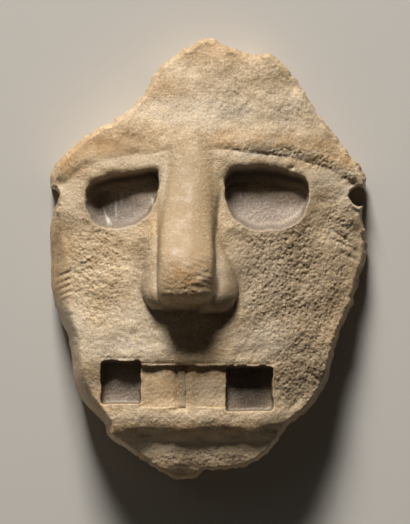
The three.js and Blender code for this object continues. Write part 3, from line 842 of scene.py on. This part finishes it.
foot = side_points[-1][:, :2]
angle = np.linspace(0, 2 * math.pi, LAND_POINTS, endpoint=False)
land_edge = np.column_stack([HOLLOW["half_width"] * np.cos(angle), HOLLOW["half_height"] * np.sin(angle)])
back_fixed = np.vstack([foot, land_edge])
back_filling = lattice(COARSE, foot.min(axis=0), foot.max(axis=0))
back_filling = back_filling[is_inside(foot, back_filling[:, 0], back_filling[:, 1])]
back_filling = clear_of(back_filling, back_fixed, 0.5 * COARSE)
back_edges = closed_edges(len(foot)) + closed_edges(len(land_edge), len(foot))
back = delaunay_2d_cdt([Vector(p) for p in np.vstack([back_fixed, back_filling])], back_edges, [], 1, 1e-5)
back_flat = np.array([v[:] for v in back[0]])
back_points = np.column_stack([back_flat, back_height(back_flat[:, 0], back_flat[:, 1])])
foot_index = {source: i for i, sources in enumerate(back[3]) for source in sources if source < len(foot)}
print("back:", len(back_points), "points,", len(back[2]), "triangles")

# %% Joining front, side and back into one closed skin
ring_size = len(rim)
side_start = len(front_points)
back_start = side_start + ring_size * (len(SIDE_ROWS) - 1)
columns = [[rim_index[i] for i in range(ring_size)]]
for k in range(len(SIDE_ROWS) - 1):
    columns.append([side_start + k * ring_size + i for i in range(ring_size)])
columns.append([back_start + foot_index[i] for i in range(ring_size)])
skin_points = np.vstack([front_points, *side_points[:-1], back_points])
skin_faces = list(front_faces)
clockwise = np.sum(rim[:, 0] * np.roll(rim[:, 1], -1) - rim[:, 1] * np.roll(rim[:, 0], -1)) < 0
for upper, lower in zip(columns, columns[1:]):
    for i in range(ring_size):
        j = (i + 1) % ring_size
        quad = (upper[i], upper[j], lower[j], lower[i])
        skin_faces.append(quad if clockwise else quad[::-1])
skin_faces += [tuple(back_start + i for i in reversed(face)) for face in back[2]]

skin_mesh = bpy.data.meshes.new("mask_skin")
skin_mesh.from_pydata((skin_points * MM).tolist(), [], skin_faces)
skin_mesh.validate()
skin_mesh.shade_smooth()
print("skin:", len(skin_mesh.vertices), "points,", len(skin_mesh.polygons), "faces")

# %% Writing the patches on the mesh
SCRATCH_HALF_WIDTH = 0.32
RIGHT_WING_SPOT = [(6, -11, 9, 13, 1)]
EYES_ABOVE = 8                # a socket above this y is an eye


def store(mesh, name, values):
    attribute = mesh.attributes.new(name, "FLOAT", "POINT")
    attribute.data.foreach_set("value", np.ascontiguousarray(values, np.float32))


x, y, z = skin_points.T
on_front = np.arange(len(skin_points)) < len(front_points)
in_socket, at_lip = np.zeros(len(skin_points)), np.zeros(len(skin_points))
in_socket[:len(front_points)] = front_socket
at_lip[:len(front_points)] = front_lip
open_face = on_front * (1 - ease(0.05, 0.5, in_socket))
along_nose = (1 - ease(38, 54, y)) * (y > NOSE_BOTTOM)
on_nose = on_front * ease(-1.6, 0, x - nose_left(y)) * (1 - ease(0, 1.6, x - nose_right(y))) * along_nose
in_mouth = (x > TOOTH_ROW[0]) * (x < TOOTH_ROW[2]) * (y > MOUTH_BOTTOM) * (y < MOUTH_TOP)
crisp = 1 - 0.7 * at_lip
on_bridge = on_nose * ease(-6, 2, y)
worn_tip = on_nose * (1 - ease(-9, -1, y))
on_wall = 4 * in_socket * (1 - in_socket)
on_wing = patches(x, y, RIGHT_WING_SPOT)
clear = (1 - 0.85 * on_bridge) * (1 - in_mouth) * (1 - on_wing)
store(skin_mesh, "pitting", patches(x, y, PITTED) * open_face * clear)
store(skin_mesh, "rough", crisp * (1 - 0.4 * ease(0, 0.4, in_socket)) * (1 - 0.5 * in_mouth))
store(skin_mesh, "polish", patches(x, y, POLISHED) * on_front)
store(skin_mesh, "nose", np.maximum(on_nose - 0.8 * worn_tip, on_wing * (1 - on_nose)))
store(skin_mesh, "honey", patches(x, y, HONEY) * on_front)
store(skin_mesh, "pale", patches(x, y, PALE_AND_PAINTED_LIGHT) * open_face)
store(skin_mesh, "soil_and_painted_shade", patches(x, y, SOIL_AND_PAINTED_SHADE) * on_front)
scratched = np.max([on_line(x, y, *line, SCRATCH_HALF_WIDTH) for line in SCRATCHES], axis=0)
store(skin_mesh, "scratched", scratched * ease(0.1, 0.5, in_socket))
on_upper_wall = ease(24, 31, y)
# painted shade on the sockets' walls, darkest halfway down, and over the eyes' upper walls
upper_wall_shade_paint = 0.55 * ease(26, 33, y) * ease(0.1, 0.7, in_socket) * (y > EYES_ABOVE)
wall_shade_paint = np.where(y < EYES_ABOVE, 0.7, 0.5) * on_wall + upper_wall_shade_paint
store(skin_mesh, "painted_socket_shade", np.maximum(patches(x, y, PAINTED_SOCKET_SHADE) * ease(0.1, 0.6, in_socket), wall_shade_paint))
eye_film = np.maximum(ease(0.02, 0.4, in_socket), 0.5 * at_lip) * (1 - 0.8 * on_upper_wall)
store(skin_mesh, "socket", np.where(y < 0, in_socket, eye_film))
on_side = (np.arange(len(skin_points)) < back_start) * (z > 1.5)
store(skin_mesh, "front", np.where(on_front, 1, 0.8 * on_side))

# %% [markdown]
# ## The stone
#
# Banded calcite is cream to honey, and light goes a millimetre or so into it, which softens its
# shadows. Where it weathered it lost its polish and took up brown soil in its pits, and the
# sockets kept a greyish film. In the sockets a near-black brown is painted shade, and a paler
# colour on the step and chin under the lower lip is painted light. Every pattern is scaled from
# real millimetres.


# %% Nodes that the stone uses often
def noise(tree, place, size_mm, detail, roughness=0.6, distortion=0.0):
    """A noise whose blotches are about size_mm across."""
    inputs = {"Vector": place, "Scale": 1 / (size_mm * MM), "Detail": detail, "Roughness": roughness,
              "Distortion": distortion}
    return add(tree, "ShaderNodeTexNoise", inputs).outputs["Fac"]


def remap(tree, value, low, high, to_low=0.0, to_high=1.0):
    inputs = {"Value": value, "From Min": low, "From Max": high, "To Min": to_low, "To Max": to_high}
    return add(tree, "ShaderNodeMapRange", inputs, interpolation_type="SMOOTHSTEP").outputs["Result"]


def maths(tree, operation, first, second):
    return add(tree, "ShaderNodeMath", {0: first, 1: second}, operation=operation).outputs[0]


def blend(tree, share, under, over, mode="MIX"):
    """Colour mix: share of the over colour upon the under colour."""
    node = add(tree, "ShaderNodeMix", {0: share, 6: under, 7: over}, data_type="RGBA", blend_type=mode)
    return node.outputs[2]


def attribute(tree, name):
    return add(tree, "ShaderNodeAttribute", attribute_name=name).outputs["Fac"]


def layer(tree, colour, name, mottling, band, share, hex_colour):
    """Lays a colour on where the attribute is high, more or less of it as the mottling says."""
    amount = maths(tree, "MULTIPLY", attribute(tree, name), remap(tree, mottling, *band, *share))
    return blend(tree, amount, colour, linear(hex_colour))


# %% Weathered calcite
def weathered_calcite():
    paint = bpy.data.materials.new("weathered_banded_calcite")
    paint.use_nodes = True
    tree = paint.node_tree
    shader = tree.nodes["Principled BSDF"]
    place = add(tree, "ShaderNodeTexCoord").outputs["Object"]

    clouds = noise(tree, place, 16, 4)
    mottling = noise(tree, place, 4.5, 6)
    grain = noise(tree, place, 1.1, 5, 0.65)
    colour = blend(tree, remap(tree, clouds, 0.35, 0.65), linear("#c1a57e"), linear("#cdb694"))
    colour = blend(tree, remap(tree, mottling, 0.38, 0.7, 0, 0.6), colour, linear("#a98b63"))
    colour = layer(tree, colour, "honey", mottling, (0.3, 0.62), (0.35, 1), "#ad8350")
    # paler stone, and painted light on the shaded step and chin under the lower lip
    colour = layer(tree, colour, "pale", mottling, (0.35, 0.6), (0.4, 1), "#d8c7ae")
    colour = blend(tree, remap(tree, grain, 0.5, 0.75, 0, 0.35), colour, linear("#866a48"))

    colour = blend(tree, maths(tree, "MULTIPLY", attribute(tree, "nose"), 0.7), colour, linear("#947b58"))
    # soil stains, and painted shade in the left eye's outer end and the mouth's right hole
    colour = layer(tree, colour, "soil_and_painted_shade", mottling, (0.3, 0.6), (0.5, 0.82), "#84735c")
    colour = layer(tree, colour, "pit", mottling, (0.3, 0.6), (0.3, 0.8), "#654b30")
    colour = layer(tree, colour, "socket", mottling, (0.3, 0.7), (0.95, 0.6), "#9b8d82")
    flecks = noise(tree, place, 0.8, 3, 0.7)
    dulled = remap(tree, attribute(tree, "polish"), 0, 1, 0.55, 0.12)
    light = maths(tree, "MULTIPLY", remap(tree, flecks, 0.54, 0.68), dulled)
    colour = blend(tree, light, colour, linear("#e4d6bd"))
    dark = maths(tree, "MULTIPLY", remap(tree, flecks, 0.46, 0.34), dulled)
    colour = blend(tree, dark, colour, linear("#725a3c"))
    # painted shade in the sockets
    colour = blend(tree, attribute(tree, "painted_socket_shade"), colour, linear("#2c2014"))
    bright = maths(tree, "MULTIPLY", attribute(tree, "scratched"), 0.6)
    colour = blend(tree, bright, colour, linear("#e2dccf"))
    tree.links.new(colour, shader.inputs["Base Color"])

    dull = remap(tree, grain, 0.3, 0.7, 0.5, 0.72)
    shine = remap(tree, mottling, 0.35, 0.65, 0.45, 0.68)
    mix = add(tree, "ShaderNodeMix", {0: attribute(tree, "polish"), 2: dull, 3: shine})
    tree.links.new(mix.outputs[0], shader.inputs["Roughness"])

    worn = remap(tree, attribute(tree, "polish"), 0, 1, 1, 0.35)
    fine_pits = maths(tree, "MULTIPLY", noise(tree, place, 1.2, 4, 0.7), worn)
    bump = add(tree, "ShaderNodeBump", {"Height": fine_pits, "Strength": 0.9, "Distance": 0.5 * MM})
    tree.links.new(bump.outputs["Normal"], shader.inputs["Normal"])
    shader.inputs["Subsurface Weight"].default_value = 0.1
    shader.inputs["Subsurface Radius"].default_value = (1.0, 0.72, 0.45)
    shader.inputs["Subsurface Scale"].default_value = 1.8 * MM
    shader.inputs["IOR"].default_value = 1.5
    return paint


stone = weathered_calcite()
print("stone:", len(stone.node_tree.nodes), "nodes")

# %% [markdown]
# ## Weathering
#
# Pits repeat over the whole face, so a node tree makes them. It reads how pitted each place is,
# scatters cells over it, sinks some of them along the surface's normal, and keeps the depth as
# an attribute, so that the stone's soil lies in the same pits. A grain goes everywhere, less of
# it where the polish was kept.

# %% The tree
weathering = bpy.data.node_groups.new("weathered_skin", "GeometryNodeTree")
panel = weathering.interface
panel.new_socket("Geometry", in_out="INPUT", socket_type="NodeSocketGeometry")
panel.new_socket("Geometry", in_out="OUTPUT", socket_type="NodeSocketGeometry")
WEATHER_INPUTS = {             # name: value; lengths in metres
    "Pit Size": 1.3 * MM, "Pit Depth": 0.62 * MM,
    "Grain Size": 2.2 * MM, "Grain Depth": 0.75 * MM, "Seed": 7.0,
}
sockets = {}
for name, value in WEATHER_INPUTS.items():
    sockets[name] = panel.new_socket(name, in_out="INPUT", socket_type="NodeSocketFloat")
    sockets[name].default_value = value
sockets["Stone"] = panel.new_socket("Stone", in_out="INPUT", socket_type="NodeSocketMaterial")

given = weathering.nodes.new("NodeGroupInput").outputs
place = add(weathering, "GeometryNodeInputPosition").outputs[0]
moved = add(weathering, "ShaderNodeVectorMath", {0: place, 1: given["Seed"]}, operation="ADD").outputs[0]


def named(name):
    return add(weathering, "GeometryNodeInputNamedAttribute", {"Name": name}, data_type="FLOAT").outputs[0]


def scale_of(size):
    return maths(weathering, "DIVIDE", 1.0, size)


wander = add(weathering, "ShaderNodeTexNoise", {
    "Vector": moved, "Scale": scale_of(given["Pit Size"]), "Detail": 2.0})
bent = add(weathering, "ShaderNodeVectorMath", {
    0: wander.outputs["Color"], 3: given["Pit Size"]}, operation="SCALE")
moved_bent = add(weathering, "ShaderNodeVectorMath", {
    0: moved, 1: bent.outputs[0]}, operation="ADD").outputs[0]
cells = add(weathering, "ShaderNodeTexVoronoi", {
    "Vector": moved_bent, "Scale": scale_of(given["Pit Size"]), "Smoothness": 0.4}, feature="SMOOTH_F1")
which = add(weathering, "ShaderNodeTexNoise", {
    "Vector": moved, "Scale": scale_of(maths(weathering, "MULTIPLY", given["Pit Size"], 1.9)), "Detail": 3.0})
cup = remap(weathering, cells.outputs["Distance"], 0.05, 0.6, 1, 0)
chosen = remap(weathering, which.outputs["Fac"], 0.36, 0.58, 0.3, 1)
pit = maths(weathering, "MULTIPLY", maths(weathering, "MULTIPLY", cup, chosen), named("pitting"))
grain = add(weathering, "ShaderNodeTexNoise", {
    "Vector": moved, "Scale": scale_of(given["Grain Size"]), "Detail": 5.0, "Roughness": 0.7}).outputs["Fac"]
rough = maths(weathering, "SUBTRACT", 1.0, maths(weathering, "MULTIPLY", named("polish"), 0.8))
rough = maths(weathering, "MULTIPLY", rough, maths(weathering, "ADD", 0.35, named("pitting")))
rough = maths(weathering, "MULTIPLY", rough, named("rough"))
rise = maths(weathering, "MULTIPLY", maths(weathering, "SUBTRACT", grain, 0.5), given["Grain Depth"])
rise = maths(weathering, "MULTIPLY", rise, maths(weathering, "MULTIPLY", rough, 2.0))
drop = maths(weathering, "MULTIPLY", pit, given["Pit Depth"])
lift = maths(weathering, "MULTIPLY", maths(weathering, "SUBTRACT", rise, drop), named("front"))
normal = add(weathering, "GeometryNodeInputNormal").outputs[0]
offset = add(weathering, "ShaderNodeVectorMath", {0: normal, 3: lift}, operation="SCALE").outputs[0]
kept_pit = add(weathering, "GeometryNodeStoreNamedAttribute", {
    "Geometry": given["Geometry"], "Name": "pit", "Value": pit}, data_type="FLOAT", domain="POINT")
shaped = add(weathering, "GeometryNodeSetPosition", {"Geometry": kept_pit.outputs[0], "Offset": offset})
real = add(weathering, "GeometryNodeRealizeInstances", {"Geometry": shaped.outputs[0]})
dressed = add(weathering, "GeometryNodeSetMaterial", {
    "Geometry": real.outputs[0], "Material": given["Stone"]})
add(weathering, "NodeGroupOutput", {"Geometry": dressed.outputs[0]})

# %% Weathering the skin
raw = bpy.data.objects.new("mask_raw", skin_mesh)
scene.collection.objects.link(raw)
modifier = raw.modifiers.new("weathering", "NODES")
modifier.node_group = weathering
modifier[sockets["Stone"].identifier] = stone
for name, value in WEATHER_INPUTS.items():
    modifier[sockets[name].identifier] = value
evaluated = raw.evaluated_get(bpy.context.evaluated_depsgraph_get())
finished_mesh = bpy.data.meshes.new_from_object(evaluated)
bpy.data.objects.remove(raw)
mask = bpy.data.objects.new("mask_stone", finished_mesh)
scene.collection.objects.link(mask)
print("finished skin:", len(finished_mesh.vertices), "points, material", finished_mesh.materials[0].name)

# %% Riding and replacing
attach(mask, "root")
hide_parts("mask")
